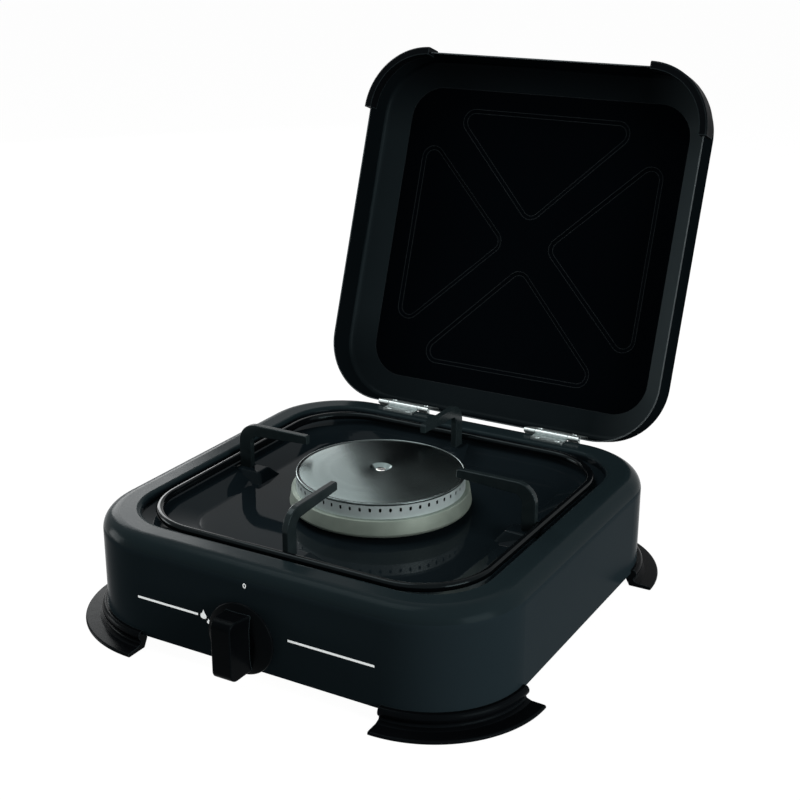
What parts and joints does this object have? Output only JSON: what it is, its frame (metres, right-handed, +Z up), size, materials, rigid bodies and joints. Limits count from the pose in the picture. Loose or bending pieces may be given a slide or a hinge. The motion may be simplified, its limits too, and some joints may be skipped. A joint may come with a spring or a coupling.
{
  "type": "gas hob",
  "caption": "Table-top gas hob with an enamelled steel body, round burner, lift-out wire pan support, control knob, corner feet and a hinged lid standing open.",
  "frame": {"origin": "on the table plane, under the middle of the body", "axes": "+Z up, -Y towards the control panel, +Y towards the hinged edge, +X to the right as seen from the front"},
  "size_m": [0.331, 0.4342, 0.3425],
  "materials": {
    "enamel": "glossy dark blue-grey enamel",
    "support_enamel": "black enamel",
    "black_plastic": "satin black",
    "knob_plastic": "satin black",
    "cup_aluminium": "matt, warm grey",
    "ring_aluminium": "machined",
    "cap_steel": "satin",
    "bright_screw": "polished",
    "cast_tube": "as cast",
    "zinc": "zinc plated",
    "brass": "machined",
    "spring_steel": "drawn",
    "pipe_steel": "drawn tube"
  },
  "bodies": {
    "base": {"body_shell": "enamel", "foot_front_left": "black_plastic", "foot_front_right": "black_plastic", "foot_back_left": "black_plastic", "foot_back_right": "black_plastic", "foot_screws": "zinc", "burner_cup": "cup_aluminium", "burner_screws": "zinc", "burner_port_ring": "ring_aluminium", "burner_cap": "cap_steel", "burner_cap_screw": "bright_screw", "mixing_tube": "cast_tube", "mixing_tube_screws": "zinc", "injector": "brass", "tap_body": "brass", "tap_bonnet": "brass", "tap_bonnet_screws": "zinc", "tap_panel_nut": "zinc", "gas_pipe": "pipe_steel", "union_nut_tap": "brass", "union_nut_inlet": "brass", "inlet_nozzle": "brass", "inlet_locknut": "brass", "hinge_body_leaf_left": "zinc", "hinge_body_leaf_right": "zinc", "hinge_pin_left": "zinc", "hinge_pin_right": "zinc", "hinge_body_rivets": "zinc"},
    "lid": {"lid": "enamel", "lid_corner_buffer_left": "black_plastic", "lid_corner_buffer_right": "black_plastic", "hinge_lid_leaf_left": "zinc", "hinge_lid_leaf_right": "zinc", "hinge_lid_rivets": "zinc"},
    "pan_support": {"pan_support_frame": "support_enamel", "pan_support_prong_front": "support_enamel", "pan_support_prong_back": "support_enamel", "pan_support_prong_left": "support_enamel", "pan_support_prong_right": "support_enamel"},
    "tap_plug": {"tap_plug": "brass", "tap_spring": "spring_steel"},
    "knob": {"knob": "knob_plastic", "tap_spindle": "brass"}
  },
  "joints": [
    {"name": "lid_hinge", "type": "hinge", "parent": "base", "child": "lid", "pos_m": [0, 0.1425, 0.0782], "axis": [1, 0, 0], "range_deg": [0, 108.67]},
    {"name": "pan_support_lift", "type": "slide", "parent": "base", "child": "pan_support", "axis": [0, 0, 1], "range_m": [0, 0.06]},
    {"name": "knob_turn", "type": "hinge", "parent": "base", "child": "tap_plug", "pos_m": [-0.0076, 0, 0.0312], "axis": [0, -1, 0], "range_deg": [0, 210]},
    {"name": "knob_push", "type": "slide", "parent": "tap_plug", "child": "knob", "axis": [0, 1, 0], "range_m": [0, 0.003], "stiffness_N_per_m": 1500, "springref_m": -0.002, "deforming": ["tap_spring"]}
  ]
}
